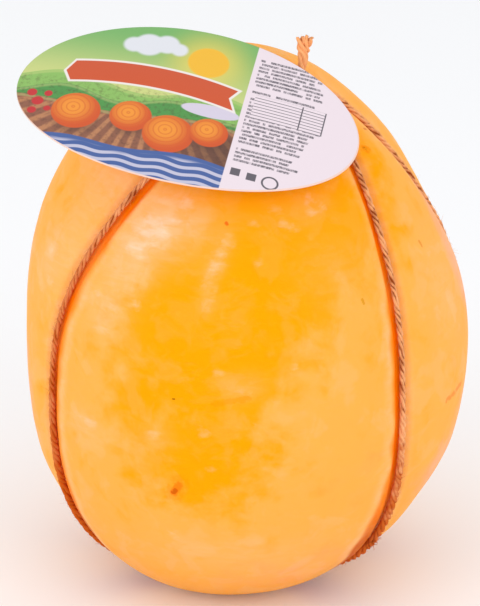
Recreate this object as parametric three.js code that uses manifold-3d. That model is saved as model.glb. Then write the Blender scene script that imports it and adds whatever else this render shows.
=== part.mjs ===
import * as THREE from 'three';
import { mergeVertices } from 'three/addons/utils/BufferGeometryUtils.js';
import Module from 'manifold-3d';

// Sizes in millimetres. The body is shaped about its own middle and stands on its foot at the end.
const halfWidth = 51.9;
const halfHeight = 71.3;
const restHeight = 62.9; // middle of the body above the flat of the foot

// How the body departs from a plain oval, as shares of its radius
const narrowTop = 0.113;
const fullShoulder = 0.045;
const lean = 0.011;
const bow = 0.024;
const crown = 0.039;
const flatFoot = 0.194;
const polePower = 6; // keeps the crown and the flattening close to the poles

// The runs of twine meet under the knot and under the foot, both off the upright axis
const knotOffset = new THREE.Vector3(0.212, -0.07, 0);
const crossOffset = new THREE.Vector3(0.033, 0, 0);
const offsetPower = 1.7;

// The four runs, by bearing: at the middle of the body, and swung by so much at the top and at the foot.
// The sign of wide tells on which side the cheese rolls down to the twine more gently.
const runs = [
  { bearing: -105, top: -8, foot: 0, wide: -1 },
  { bearing: -63, top: 22, foot: -7, wide: 1 },
  { bearing: 41.5, top: -1.5, foot: 10, wide: -1 },
  { bearing: 95, top: -9, foot: 5, wide: 1 },
];
const swingPower = 1.5;

// The twine and the groove it has pressed into the cheese
const twineRadius = 0.76;
const twineClear = 0.3;
const twineSides = 8;
const twineSteps = 88;
const grooveDepth = 1.0;
const grooveFloor = 0.9;
const grooveLip = 3.0;
const lobeDrop = 1.4; // how far the lobes roll down towards each groove
const wideReach = 9;
const tightReach = 4.5;
const knotDepth = 2.0; // extra depth where the knot has pulled the top in
const knotNear = 3;
const knotFar = 12;
const footDepth = 2.6; // extra depth that keeps the crossing clear of the table
const footNear = 10;
const footFar = 30;
const dimpleNear = 2.5; // the grooves run together in a dimple under the knot and under the foot
const dimpleFar = 8;
const poleRadius = 63;

// Lobes that draw in behind the twine, each between two runs and from one polar angle to another.
// The back one draws in at the shoulder only and fills out again at the crown.
const tuckReach = 5;
const tucks = [
  { between: [0, 1], depth: 1.2, start: 118, full: 135 },
  { between: [2, 3], depth: 1.2, start: 118, full: 135 },
  { between: [0, 1], depth: 0.9, start: 70, full: 45 },
  { between: [3, 0], depth: 0.8, start: 72, full: 52 },
  { between: [3, 0], depth: -0.8, start: 52, full: 32 },
];

// The knot and its two cut ends
const knotLift = 2.1;
const knotReach = 5;
const knotSize = 0.6;
const knotTube = 0.76;
const knotSteps = 60;
const knotSides = 6;
const knotCore = 1.7;
const tailRadius = 1.15;
const tailSteps = 8;
const leftTail = [[0.1, -0.4, 0], [0.7, -0.7, 2.5], [0.9, -0.6, 5.2], [0.7, -0.2, 7.8], [0.6, 0, 9.3]];
const rightTail = [[0.2, 0.4, 0], [0.9, 0.7, 2.5], [1.4, 0.6, 5.2], [2.1, 0.2, 7.8], [2.7, 0, 9.2]];

// The oval card lying on the crown
const cardHalfLength = 38.2;
const cardHalfWidth = 23.5;
const cardThick = 0.4;
const cardArch = 255; // radius it bends to along its length
const cardMiddle = new THREE.Vector3(-11.7, -24.55, 58.95);
const cardPitch = 27.5;
const cardRoll = 9.8;
const cardYaw = -7.9;
const cardRings = 3;
const cardSides = 44;

// Mesh spacing across and along the body
const nearGroove = [0, 0.9, 1.9, 3, 5.5, 11];
const lobeSpacing = 10;
const poleRows = [0, 0.02, 0.04, 0.06, 0.085, 0.115, 0.15, 0.2];
const midRows = 43;

const turn = Math.PI * 2;
const radians = THREE.MathUtils.degToRad;
const ease = THREE.MathUtils.smoothstep;

// Bearing of a run at a polar angle, 0 towards -Y and growing towards +X
function runBearing(run, polar) {
  const z = Math.cos(polar);
  const top = run.top * Math.max(z, 0) ** swingPower;
  const foot = run.foot * Math.max(-z, 0) ** swingPower;
  return radians(run.bearing + top + foot);
}

function direction(bearing, polar) {
  const z = Math.cos(polar);
  const s = Math.sin(polar);
  const d = new THREE.Vector3(s * Math.sin(bearing), -s * Math.cos(bearing), z);
  d.addScaledVector(knotOffset, ((1 + z) / 2) ** offsetPower);
  d.addScaledVector(crossOffset, ((1 - z) / 2) ** offsetPower);
  return d.normalize();
}

// Radius of the body before it was tied
function bodyRadius(d) {
  const flat = (d.x ** 2 + d.y ** 2) / halfWidth ** 2;
  const oval = 1 / Math.sqrt(flat + d.z ** 2 / halfHeight ** 2);
  let share = 1 - narrowTop * d.z * (1.5 - 0.5 * d.z ** 2);
  share += fullShoulder * 2.6 * d.z * (1 - d.z ** 2);
  share -= lean * 2 * d.x * d.z;
  share += bow * d.x * (1 - 4 * d.z ** 2);
  share += crown * Math.max(d.z, 0) ** polePower;
  share -= flatFoot * Math.max(-d.z, 0) ** polePower;
  return oval * share;
}

function floorDepth(polar) {
  const underKnot = 1 - ease(polar * poleRadius, knotNear, knotFar);
  const nearCross = 1 - ease((Math.PI - polar) * poleRadius, footNear, footFar);
  return grooveDepth + knotDepth * underKnot + footDepth * nearCross;
}

// Depth pressed into the body at a place, from the nearest grooves
function pressed(bearing, polar) {
  const reach = halfWidth * Math.sin(polar);
  let narrow = 1;
  let broad = 1;
  for (const run of runs) {
    const ahead = bearing - runBearing(run, polar) + turn / 2;
    const apart = THREE.MathUtils.euclideanModulo(ahead, turn) - turn / 2;
    const side = Math.abs(apart) * reach;
    const lobeReach = apart * run.wide > 0 ? wideReach : tightReach;
    narrow *= ease(side, grooveFloor, grooveLip);
    broad *= 1 - Math.exp(-((side / lobeReach) ** 2));
  }
  narrow *= ease(Math.min(polar, Math.PI - polar) * poleRadius, dimpleNear, dimpleFar);
  return floorDepth(polar) * (1 - narrow) + lobeDrop * (1 - broad);
}

function tucked(bearing, polar) {
  const reach = halfWidth * Math.sin(polar);
  let depth = 0;
  for (const tuck of tucks) {
    const [from, to] = tuck.between;
    const end = runBearing(runs[to], polar) + (to < from ? turn : 0);
    const gap = Math.min(bearing - runBearing(runs[from], polar), end - bearing);
    const along = (polar - radians(tuck.start)) / radians(tuck.full - tuck.start);
    depth += tuck.depth * ease(gap * reach, 0, tuckReach) * ease(along, 0, 1);
  }
  return depth;
}

function bodyPoint(bearing, polar) {
  const d = direction(bearing, polar);
  const p = d.multiplyScalar(bodyRadius(d) - pressed(bearing, polar) - tucked(bearing, polar));
  p.z = Math.max(p.z, -restHeight);
  return p;
}

// Middle of the twine above the floor of its groove, rising into the knot
function twinePoint(run, polar) {
  const bearing = runBearing(run, polar);
  const d = direction(bearing, polar);
  const rise = (knotLift - twineRadius - twineClear) * (1 - ease(polar * poleRadius, 0, knotReach));
  const sunk = floorDepth(polar) + lobeDrop - twineRadius - twineClear - rise;
  return d.multiplyScalar(bodyRadius(d) - sunk);
}

function rowAngles() {
  const first = poleRows.at(-1);
  const rows = [...poleRows];
  for (let i = 1; i < midRows; i += 1) {
    rows.push(first + (Math.PI - 2 * first) * i / midRows);
  }
  for (const angle of poleRows.toReversed()) {
    rows.push(Math.PI - angle);
  }
  return rows;
}

// Columns between two runs, close together beside the grooves, as shares of the gap
function columnShares(gap) {
  const edge = nearGroove.at(-1);
  const span = gap - 2 * edge;
  const count = Math.max(1, Math.round(span / lobeSpacing));
  const places = [...nearGroove];
  for (let i = 1; i < count; i += 1) {
    places.push(edge + span * i / count);
  }
  for (const place of nearGroove.slice(1).toReversed()) {
    places.push(gap - place);
  }
  return places.map((place) => place / gap);
}

function cheeseGeometry() {
  const rows = rowAngles();
  const sectors = runs.map((run, i) => {
    const next = runs[(i + 1) % runs.length];
    const wrap = i + 1 === runs.length ? 360 : 0;
    const gap = radians(next.bearing + wrap - run.bearing) * halfWidth;
    return { run, next, wrap: radians(wrap), shares: columnShares(gap) };
  });
  const points = [bodyPoint(0, 0)];
  let columns = 0;
  for (const polar of rows.slice(1, -1)) {
    columns = 0;
    for (const sector of sectors) {
      const start = runBearing(sector.run, polar);
      const end = runBearing(sector.next, polar) + sector.wrap;
      for (const share of sector.shares) {
        points.push(bodyPoint(start + (end - start) * share, polar));
        columns += 1;
      }
    }
  }
  points.push(bodyPoint(0, Math.PI));
  const last = points.length - 1;
  const at = (row, column) => 1 + row * columns + column % columns;
  const faces = [];
  const inner = rows.length - 2;
  for (let j = 0; j < columns; j += 1) {
    faces.push(0, at(0, j), at(0, j + 1));
    for (let i = 0; i + 1 < inner; i += 1) {
      faces.push(at(i, j), at(i + 1, j), at(i + 1, j + 1));
      faces.push(at(i, j), at(i + 1, j + 1), at(i, j + 1));
    }
    faces.push(at(inner - 1, j), last, at(inner - 1, j + 1));
  }
  const geometry = new THREE.BufferGeometry().setFromPoints(points);
  geometry.setIndex(faces);
  return geometry;
}

function roundShape(radius) {
  const corners = [];
  for (let i = 0; i < twineSides; i += 1) {
    const angle = turn * i / twineSides;
    corners.push(new THREE.Vector2(Math.cos(angle) * radius, Math.sin(angle) * radius));
  }
  return new THREE.Shape(corners);
}

function rope(points, radius, steps) {
  const path = new THREE.CatmullRomCurve3(points);
  return new THREE.ExtrudeGeometry(roundShape(radius), { steps, extrudePath: path, bevelEnabled: false });
}

// One loop: down one run, under the foot, and up another
function loopGeometry(down, up) {
  const rows = rowAngles().slice(0, -1);
  const points = rows.map((polar) => twinePoint(down, polar));
  points.push(twinePoint(down, Math.PI));
  points.push(...rows.toReversed().map((polar) => twinePoint(up, polar)));
  return rope(points, twineRadius, twineSteps);
}

class KnotCurve extends THREE.Curve {
  getPoint(t, target = new THREE.Vector3()) {
    const a = turn * t;
    const out = 2 + Math.cos(3 * a);
    target.set(out * Math.cos(2 * a), out * Math.sin(2 * a), Math.sin(3 * a));
    return target.multiplyScalar(knotSize);
  }
}

const wasm = await Module();
wasm.setup();

function solid(geometry) {
  const plain = new THREE.BufferGeometry();
  plain.setAttribute('position', geometry.getAttribute('position'));
  plain.setIndex(geometry.index);
  const welded = mergeVertices(plain, 1e-4);
  return new wasm.Manifold(new wasm.Mesh({
    numProp: 3,
    vertProperties: new Float32Array(welded.getAttribute('position').array),
    triVerts: new Uint32Array(welded.index.array),
  }));
}

function geometryOf(manifold) {
  const mesh = manifold.getMesh();
  const geometry = new THREE.BufferGeometry();
  geometry.setAttribute('position', new THREE.BufferAttribute(mesh.vertProperties, 3));
  geometry.setIndex(new THREE.BufferAttribute(mesh.triVerts, 1));
  return geometry;
}

// Two loops, the knot over their meeting and the two ends left standing
function twineGeometry() {
  const knotPlace = twinePoint(runs[0], 0);
  const knot = new THREE.TubeGeometry(new KnotCurve(), knotSteps, knotTube, knotSides, true);
  const upright = new THREE.Vector3(0, 0, 1);
  knot.applyQuaternion(new THREE.Quaternion().setFromUnitVectors(upright, direction(0, 0)));
  knot.translate(knotPlace.x, knotPlace.y, knotPlace.z);
  let whole = solid(loopGeometry(runs[1], runs[3]));
  whole = whole.add(solid(loopGeometry(runs[2], runs[0])));
  const core = new THREE.IcosahedronGeometry(knotCore, 1);
  core.translate(knotPlace.x, knotPlace.y, knotPlace.z);
  whole = whole.add(solid(knot));
  whole = whole.add(solid(core));
  for (const tail of [leftTail, rightTail]) {
    const points = tail.map((p) => new THREE.Vector3(...p).add(knotPlace));
    whole = whole.add(solid(rope(points, tailRadius, tailSteps)));
  }
  return geometryOf(whole);
}

function cardGeometry() {
  const points = [];
  for (const height of [cardThick / 2, -cardThick / 2]) {
    points.push(new THREE.Vector3(0, 0, height));
    for (let ring = 1; ring <= cardRings; ring += 1) {
      for (let i = 0; i < cardSides; i += 1) {
        const angle = turn * i / cardSides;
        const x = cardHalfLength * Math.cos(angle) * ring / cardRings;
        const y = cardHalfWidth * Math.sin(angle) * ring / cardRings;
        points.push(new THREE.Vector3(x, y, height - x ** 2 / (2 * cardArch)));
      }
    }
  }
  const side = points.length / 2;
  const at = (ring, i) => 1 + (ring - 1) * cardSides + i % cardSides;
  const faces = [];
  const both = (a, b, c) => faces.push(a, b, c, side + a, side + c, side + b);
  for (let i = 0; i < cardSides; i += 1) {
    both(0, at(1, i), at(1, i + 1));
    for (let ring = 1; ring < cardRings; ring += 1) {
      both(at(ring, i), at(ring + 1, i), at(ring + 1, i + 1));
      both(at(ring, i), at(ring + 1, i + 1), at(ring, i + 1));
    }
    const a = at(cardRings, i);
    const b = at(cardRings, i + 1);
    faces.push(a, side + a, side + b);
    faces.push(a, side + b, b);
  }
  const geometry = new THREE.BufferGeometry().setFromPoints(points);
  geometry.setIndex(faces);
  const tilt = new THREE.Euler(radians(cardPitch), radians(cardRoll), radians(cardYaw), 'ZYX');
  geometry.applyQuaternion(new THREE.Quaternion().setFromEuler(tilt));
  geometry.translate(cardMiddle.x, cardMiddle.y, cardMiddle.z);
  return geometry;
}

const cheeseFinish = new THREE.MeshStandardMaterial({ color: 0xfdae38, roughness: 0.38, metalness: 0 });
const twineFinish = new THREE.MeshStandardMaterial({ color: 0xb9744a, roughness: 0.9, metalness: 0 });
const cardFinish = new THREE.MeshStandardMaterial({ color: 0xe9e2e4, roughness: 0.45, metalness: 0 });

const pieces = {
  cheese: new THREE.Mesh(cheeseGeometry(), cheeseFinish),
  twine: new THREE.Mesh(twineGeometry(), twineFinish),
  label: new THREE.Mesh(cardGeometry(), cardFinish),
};

const group = new THREE.Group();
group.name = 'tied_smoked_cheese';
for (const [name, piece] of Object.entries(pieces)) {
  piece.name = name;
  group.add(piece);
}

// The part stands with the middle of its outer box, at table height, at the origin
const box = new THREE.Box3().setFromObject(group);
const middle = box.getCenter(new THREE.Vector3());
for (const piece of Object.values(pieces)) {
  piece.geometry.translate(-middle.x, -middle.y, -box.min.z);
  piece.geometry.computeVertexNormals();
}

export default group;
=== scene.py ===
import math
import random

import bmesh
import bpy
from mathutils import Euler, Matrix, Vector, noise


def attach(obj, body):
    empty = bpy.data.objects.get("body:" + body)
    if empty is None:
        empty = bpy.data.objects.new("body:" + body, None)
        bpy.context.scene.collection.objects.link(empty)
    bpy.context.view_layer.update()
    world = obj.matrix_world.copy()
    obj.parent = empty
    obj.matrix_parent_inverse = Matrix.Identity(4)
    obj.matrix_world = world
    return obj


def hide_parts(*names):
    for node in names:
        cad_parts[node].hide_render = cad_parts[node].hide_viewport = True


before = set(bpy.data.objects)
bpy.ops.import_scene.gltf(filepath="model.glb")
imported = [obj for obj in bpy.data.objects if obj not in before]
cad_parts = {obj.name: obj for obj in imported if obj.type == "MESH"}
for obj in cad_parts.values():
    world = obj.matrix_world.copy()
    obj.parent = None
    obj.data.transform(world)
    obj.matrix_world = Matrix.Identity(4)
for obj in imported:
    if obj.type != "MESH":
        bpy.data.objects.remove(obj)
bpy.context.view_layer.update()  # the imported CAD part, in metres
mm = 0.001
turn = math.tau
noiseMiddle = 0.5


def ease(value, low, high):
    t = min(max((value - low) / (high - low), 0.0), 1.0)
    return t * t * (3 - 2 * t)


def srgb(red, green, blue):
    def linear(level):
        share = level / 255
        return share / 12.92 if share <= 0.04045 else ((share + 0.055) / 1.055) ** 2.4
    return (linear(red), linear(green), linear(blue), 1.0)


# Shader maths as plain expressions: a Wire is one socket of a node tree

class Wire:
    def __init__(self, tree, socket=None):
        self.tree = tree
        self.socket = socket

    def node(self, kind, settings=None, sockets=None, output=0):
        made = self.tree.nodes.new(kind)
        for name, value in (settings or {}).items():
            setattr(made, name, value)
        for name, value in (sockets or {}).items():
            if isinstance(value, Wire):
                self.tree.links.new(value.socket, made.inputs[name])
            else:
                made.inputs[name].default_value = value
        return Wire(self.tree, made.outputs[output])

    def sibling(self, output):
        return Wire(self.tree, self.socket.node.outputs[output])

    def layer(self, name):
        return self.node("ShaderNodeAttribute", {"attribute_name": name}, None, "Fac")

    def axes(self):
        return self.node("ShaderNodeSeparateXYZ", None, {"Vector": self})

    def stretch(self, scale, rotation=(0, 0, 0)):
        return self.node("ShaderNodeMapping", None, {"Vector": self, "Rotation": rotation, "Scale": scale})

    def bump(self, strength, distance):
        sockets = {"Strength": strength, "Distance": distance, "Height": self}
        return self.node("ShaderNodeBump", None, sockets, "Normal")

    def math(self, operation, *values):
        return self.node("ShaderNodeMath", {"operation": operation}, dict(enumerate(values)))

    def vector(self, operation, *values, output=0):
        return self.node("ShaderNodeVectorMath", {"operation": operation}, dict(enumerate(values)), output)

    def smooth(self, low, high, start=0.0, end=1.0):
        sockets = {"Value": self, "From Min": low, "From Max": high, "To Min": start, "To Max": end}
        return self.node("ShaderNodeMapRange", {"interpolation_type": "SMOOTHSTEP"}, sockets)

    def mix(self, low, high):
        settings = {"data_type": "RGBA", "clamp_factor": True}
        return self.node("ShaderNodeMix", settings, {0: self, 6: low, 7: high}, 2)

    def fromPlace(self, place):
        return self.vector("DISTANCE", self, place, output="Value")

    def near(self, place, reach, core=0.0):
        return self.fromPlace(place).smooth(core, reach, 1.0, 0.0)

    def nearLine(self, start, end, reach):
        along = end - start
        share = self.vector("DOT_PRODUCT", self.vector("SUBTRACT", self, start), along, output="Value")
        share = (share / along.length_squared).most(0.0).least(1.0)
        foot = self.node("ShaderNodeVectorMath", {"operation": "SCALE"}, {"Vector": along, "Scale": share})
        return self.near(self.vector("ADD", foot, start), reach)

    def fog(self, scale, detail=3.0, rough=0.55, bend=0.0):
        sockets = {"Vector": self, "Scale": scale, "Detail": detail, "Roughness": rough, "Distortion": bend}
        return self.node("ShaderNodeTexNoise", None, sockets)

    def veil(self, noiseSettings, levels):
        return self.fog(*noiseSettings).smooth(*levels)

    def sine(self, size, pitch, shift=0.0):
        return self.math("SINE", self * (turn / pitch) + shift) * size

    def band(self, low, high, soft):
        return self.smooth(low - soft, low + soft) * self.smooth(high - soft, high + soft, 1.0, 0.0)

    def floor(self):
        return self.math("FLOOR", self)

    def absolute(self):
        return self.math("ABSOLUTE", self)

    def most(self, other):
        return self.math("MAXIMUM", self, other)

    def least(self, other):
        return self.math("MINIMUM", self, other)

    def __add__(self, other):
        return self.math("ADD", self, other)

    def __radd__(self, other):
        return self.math("ADD", other, self)

    def __sub__(self, other):
        return self.math("SUBTRACT", self, other)

    def __rsub__(self, other):
        return self.math("SUBTRACT", other, self)

    def __mul__(self, other):
        return self.math("MULTIPLY", self, other)

    def __truediv__(self, other):
        return self.math("DIVIDE", self, other)


def newMaterial(name, fixed):
    material = bpy.data.materials.new(name)
    material.use_nodes = True
    shader = material.node_tree.nodes["Principled BSDF"]
    for socket, value in fixed.items():
        shader.inputs[socket].default_value = value
    return material, Wire(material.node_tree), shader.inputs


def feed(inputs, **wires):
    for name, wire in wires.items():
        wire.tree.links.new(wire.socket, inputs[name.replace("_", " ")])


def objectPlace(start):
    return start.node("ShaderNodeTexCoord", None, None, "Object")


def linkMesh(bm, name, material):
    mesh = bpy.data.meshes.new(name)
    bm.to_mesh(mesh)
    bm.free()
    mesh.materials.append(material)
    made = bpy.data.objects.new(name, mesh)
    bpy.context.scene.collection.objects.link(made)
    return made


def finishPiece(bm, name, material, node):
    bmesh.ops.recalc_face_normals(bm, faces=bm.faces)
    bmesh.ops.transform(bm, matrix=toPart, verts=bm.verts)
    for face in bm.faces:
        face.smooth = True
    piece = linkMesh(bm, name, material)
    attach(piece, "root")
    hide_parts(node)
    print("built", name, len(piece.data.polygons), "faces")


# The body, in millimetres about its own middle: the same form as the solid in the frame

body = {
    "middle": Vector((-1.15, 0.04, 62.9)),  # the body's middle in the part's frame
    "halfWidth": 51.9,
    "halfHeight": 71.3,
    "narrowTop": 0.113,
    "fullShoulder": 0.045,
    "lean": 0.011,
    "bow": 0.024,
    "crown": 0.039,
    "flatFoot": 0.194,
    "polePower": 6,
    "knotOffset": Vector((0.212, -0.07, 0)),  # where the runs of twine meet, off the upright axis
    "crossOffset": Vector((0.033, 0, 0)),
    "offsetPower": 1.7,
    "poleRadius": 63,
}
toPart = Matrix.Translation(body["middle"] * mm) @ Matrix.Scale(mm, 4)

# Runs of twine by bearing, 0 towards the camera and growing to its right; wide is the side of the big lobe
# Each run also gives the width in millimetres of the painted shade in its groove on the wide side, and the
# share by which that painted shade widens near the foot
runs = [
    {"bearing": -105, "top": -8, "foot": 0, "wide": -1, "grooveShade": 4, "footShade": 0.1},
    {"bearing": -63, "top": 22, "foot": -7, "wide": 1, "grooveShade": 5.4, "footShade": 0.25},
    {"bearing": 41.5, "top": -1.5, "foot": 10, "wide": -1, "grooveShade": 4.2, "footShade": 0.95},
    {"bearing": 95, "top": -9, "foot": 5, "wide": 1, "grooveShade": 4, "footShade": 0.1},
]
swingPower = 1.5

groove = {
    "depth": 1,
    "floor": 0.9,
    "lip": 3,
    "drop": 1.4,  # how far the lobes roll down to the twine
    "wideReach": 9,
    "tightReach": 4.5,
    "knotDepth": 2,
    "knotSpan": (3, 12),
    "footDepth": 2.6,
    "footSpan": (10, 30),
    "dimple": (2.5, 8),
    "tuckReach": 5,
    # width of the painted highlight on the lip beyond the groove shade
    "lipHighlightWidth": 3,
    "lipStart": 0.6,  # share of the painted shade's width at which the painted highlight on the lip begins
    "tightShade": 1.2,  # width of the painted groove shade on the side away from the big lobe
    "topShade": 0.5,  # share of its width at the top
    "shadeWander": 0.3,
    "shadeWaves": 9,
    "shadeGrows": (math.radians(30), math.radians(80)),  # polar angles between which the painted shade grows wider
    "shadeCore": (0.45, 0.75),  # share of its width that is painted full shade, above and at the foot
    "footShade": (math.radians(112), math.radians(138)),
}

# Lobes that draw in behind the twine, each between two runs and from one polar angle to another.
# The back one draws in at the shoulder only and fills out again at the crown.
tucks = [
    {"between": (0, 1), "depth": 1.2, "start": 118, "full": 135},
    {"between": (2, 3), "depth": 1.2, "start": 118, "full": 135},
    {"between": (0, 1), "depth": 0.9, "start": 70, "full": 45},
    {"between": (3, 0), "depth": 0.8, "start": 72, "full": 52},
    {"between": (3, 0), "depth": -0.8, "start": 52, "full": 32},
]


def angleFrom(middle, bearing):
    return (bearing - middle + math.pi) % turn - math.pi


def runBearing(run, polar):
    z = math.cos(polar)
    swing = run["top"] * max(z, 0) ** swingPower + run["foot"] * max(-z, 0) ** swingPower
    return math.radians(run["bearing"] + swing)


def direction(bearing, polar):
    z = math.cos(polar)
    s = math.sin(polar)
    d = Vector((s * math.sin(bearing), -s * math.cos(bearing), z))
    d += body["knotOffset"] * ((1 + z) / 2) ** body["offsetPower"]
    d += body["crossOffset"] * ((1 - z) / 2) ** body["offsetPower"]
    return d.normalized()


def bodyRadius(d):
    flat = (d.x ** 2 + d.y ** 2) / body["halfWidth"] ** 2
    share = 1 - body["narrowTop"] * d.z * (1.5 - 0.5 * d.z ** 2)
    share += body["fullShoulder"] * 2.6 * d.z * (1 - d.z ** 2)
    share -= body["lean"] * 2 * d.x * d.z
    share += body["bow"] * d.x * (1 - 4 * d.z ** 2)
    share += body["crown"] * max(d.z, 0) ** body["polePower"]
    share -= body["flatFoot"] * max(-d.z, 0) ** body["polePower"]
    return share / math.sqrt(flat + d.z ** 2 / body["halfHeight"] ** 2)


def floorDepth(polar):
    underKnot = 1 - ease(polar * body["poleRadius"], *groove["knotSpan"])
    nearCross = 1 - ease((math.pi - polar) * body["poleRadius"], *groove["footSpan"])
    return groove["depth"] + groove["knotDepth"] * underKnot + groove["footDepth"] * nearCross


def tucked(bearing, polar):
    reach = body["halfWidth"] * math.sin(polar)
    depth = 0.0
    for tuck in tucks:
        first, second = tuck["between"]
        end = runBearing(runs[second], polar) + (turn if second < first else 0.0)
        gap = min(bearing - runBearing(runs[first], polar), end - bearing)
        along = (math.degrees(polar) - tuck["start"]) / (tuck["full"] - tuck["start"])
        depth += tuck["depth"] * ease(gap * reach, 0, groove["tuckReach"]) * ease(along, 0, 1)
    return depth


def shadeWidth(run, polar):
    wander = noise.noise(Vector((polar * groove["shadeWaves"], run["bearing"], 0)))
    top = groove["topShade"]
    grown = top + (1 - top) * ease(polar, *groove["shadeGrows"])
    return run["grooveShade"] * (1 + groove["shadeWander"] * wander) * grown


# Depth pressed in by the twine, how far painted shade reaches from the groove, and a painted highlight on the
# lip beyond that shade
def pressed(bearing, polar):
    reach = body["halfWidth"] * math.sin(polar)
    narrow = 1.0
    broad = 1.0
    grooveShade = 0.0
    lip = 0.0
    atFoot = ease(polar, *groove["footShade"])
    above, below = groove["shadeCore"]
    core = above + (below - above) * atFoot
    for run in runs:
        apart = angleFrom(runBearing(run, polar), bearing)
        side = abs(apart) * reach
        wide = apart * run["wide"] > 0
        narrow *= ease(side, groove["floor"], groove["lip"])
        broad *= 1 - math.exp(-(side / groove["wideReach" if wide else "tightReach"]) ** 2)
        darkening = groove["tightShade"]
        if wide:
            darkening = shadeWidth(run, polar) * (1 + run["footShade"] * atFoot)
        grooveShade = max(grooveShade, 1 - ease(side, core * darkening, darkening))
        beyond = 1 - ease(side, darkening, darkening + groove["lipHighlightWidth"])
        lip = max(lip, ease(side, groove["lipStart"] * darkening, darkening) * beyond)
    fromPole = min(polar, math.pi - polar) * body["poleRadius"]
    narrow *= ease(fromPole, *groove["dimple"])
    depth = floorDepth(polar) * (1 - narrow) + groove["drop"] * (1 - broad) + tucked(bearing, polar)
    return depth, grooveShade, lip


def bodyPoint(bearing, polar):
    d = direction(bearing, polar)
    return d * bodyRadius(d)


# The cheese: a sphere whose columns follow the runs of twine, pressed into the body's form

cheese = {
    "columns": 384,
    "rows": 250,
    "sectorShares": [0, 0.17, 0.46, 0.64, 1],  # columns given to the lobes between the runs
    "crowding": 0.55,  # how much closer the columns lie beside a groove
    "swell": 0.35,  # slow unevenness, millimetres
    "swellSize": 26,
    "dent": 0.1,
    "dentSize": 7,
    "dentShift": Vector((7, 3, 5)),
    "layers": ("grooveShade", "deep", "bloomAndHighlight", "blushAndSheen", "fleckAndGlint"),
    # share of the painted lip highlight taken into the pale zones
    "lipHighlight": 0.35,
    # deep orange tone, also used for painted shade below the card
    "deep": (0.95, 0.35, 0.001, 1),
    "peach": (0.95, 0.41, 0.072, 1),
    # pale bloom colour, also used for painted highlight and sheen
    "bloomAndHighlight": (0.98, 0.61, 0.42, 1),
    # pinker tone, also used for painted rim sheen
    "blushAndSheen": (0.96, 0.4, 0.19, 1),
    # painted shade in the grooves beside the twine
    "grooveShade": (0.98, 0.19, 0, 1),
    "grooveShadeLow": srgb(202, 88, 2),  # the painted groove shade, darker near the foot
    "zoneFall": 0.7,  # how fast a zone fades from its middle
}

# Noises of the rind, as scale, detail, roughness and bend, some with the levels between which they count
rind = {
    "blotch": (70, 5, 0.62, 0.5),
    "blotchWeight": 1.3,
    "mottle": (165, 3, 0.5, 0.2),
    "mottleWeight": 1.9,
    "deepWeight": 1.08,
    "deepLevels": (0, 0.9),
    "blushUneven": 0.4,
    "blushLevels": (0.25, 1),
    "slant": {"rotation": (0, -0.3, 0), "scale": (0.9, 0.9, 1.6)},
    "wisp": ((190, 4, 0.55, 0.8), (0.46, 0.62)),
    "wispWeight": 0.04,
    "haze": ((60, 3, 0.5), (0.35, 0.75)),
    "torn": (420, 4, 0.6, 0.6),
    "tornWeight": 1.2,
    "flat": {"rotation": (0, -0.15, 0), "scale": (0.5, 0.5, 2.4)},
    "ripple": ((260, 3, 0.5, 0.5), (0.42, 0.62)),
    "cloud": ((115, 3, 0.55, 0.6), (0.5, 0.62)),
    "cloudWeight": 0.09,
    "cloudInDeep": 0.06,  # taken from that weight in the deep zones
    "paleWeight": 0.34,
    "paleStreaks": 0.17,
    "fleckLevels": (0.25, 1.05),
    "fleckWeight": 0.38,
    "fleckStreaks": 0.35,
    "lowShade": (34 * mm, 16 * mm),  # heights between which the painted groove shade darkens
    "shadeBlotch": (0.3, 0.6, 0.75, 1),
    "ragged": ((900, 2), (0.3, 0.7, 0.5, 1.5)),
    "markLevels": (0.15, 0.8),
    "relief": (160, 4, 0.6, 0.8),
    "fine": (700, 4, 0.6),
    "fineRelief": 0.25,
    "wispRelief": 0.15,
    "bump": (0.18, 0.5 * mm),
    "roughness": 0.42,
    "roughGrain": 0.25,
    "paleCoat": 0.5,
}

# Zones of the rind: bearing, polar angle, half sizes across and along in millimetres, and strength
# Deeper orange: the rind's own smoky tone, and painted shade from the card in the zones just below its lower
# edge
deepAndShadeZones = [
    (-15, 43, 12, 9, 1), (-19, 47, 7, 6, 0.9), (1, 42, 13, 9, 1), (18, 41, 11, 8, 0.9),
    (32, 40, 8, 9, 0.8), (-8, 56, 13, 11, 0.9), (8, 54, 12, 9, 0.8), (24, 50, 8, 9, 0.5),
    (-25, 63, 8, 10, 0.9), (-22, 74, 11, 10, 0.9), (-9, 70, 13, 11, 1), (-6, 80, 12, 9, 0.95),
    (4, 66, 9, 8, 0.6), (-14, 92, 12, 10, 0.75), (-14, 104, 11, 10, 0.85), (-16, 114, 9, 7, 0.7),
    (-33, 90, 9, 18, 0.28), (46, 28, 6, 8, 0.7), (43, 50, 6, 14, 0.6), (-75, 55, 6, 9, 0.3),
    (120, 60, 13, 16, 0.9), (165, 85, 22, 16, 0.9), (-150, 55, 15, 10, 0.9), (-140, 105, 14, 18, 0.8),
    (140, 120, 12, 10, 0.7), (0, 172, 16, 14, 0.8),
]
# Pale zones: partly the rind's own pale bloom, partly painted highlight and sheen, such as the broad pale
# patch on the upper left and the pale sides
bloomAndHighlightZones = [
    (-37, 50, 7.5, 6, 1), (-41, 58, 5, 6, 0.6), (-44, 70, 5, 8, 0.4), (-17, 54, 1.6, 4, 0.2),
    (-18, 59, 1.6, 4, 0.25), (-17, 66, 1.4, 3, 0.2), (1, 43, 4, 3, 0.1), (11, 40, 4, 3, 0.15),
    (-67, 67, 6, 7, 0.5), (-4, 86, 4, 3, 0.25), (-47, 103, 4, 4, 0.4), (-26, 101, 3, 3, 0.25),
    (20, 57, 7, 8, 0.15), (0, 132, 16, 5, 0.25), (64, 70, 7, 14, 0.3), (150, 60, 12, 9, 0.7),
    (-170, 110, 14, 8, 0.6), (-125, 75, 8, 12, 0.6), (-62, 48, 6, 9, 0.35), (45, 9, 9, 8, 0.5),
]
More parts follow.
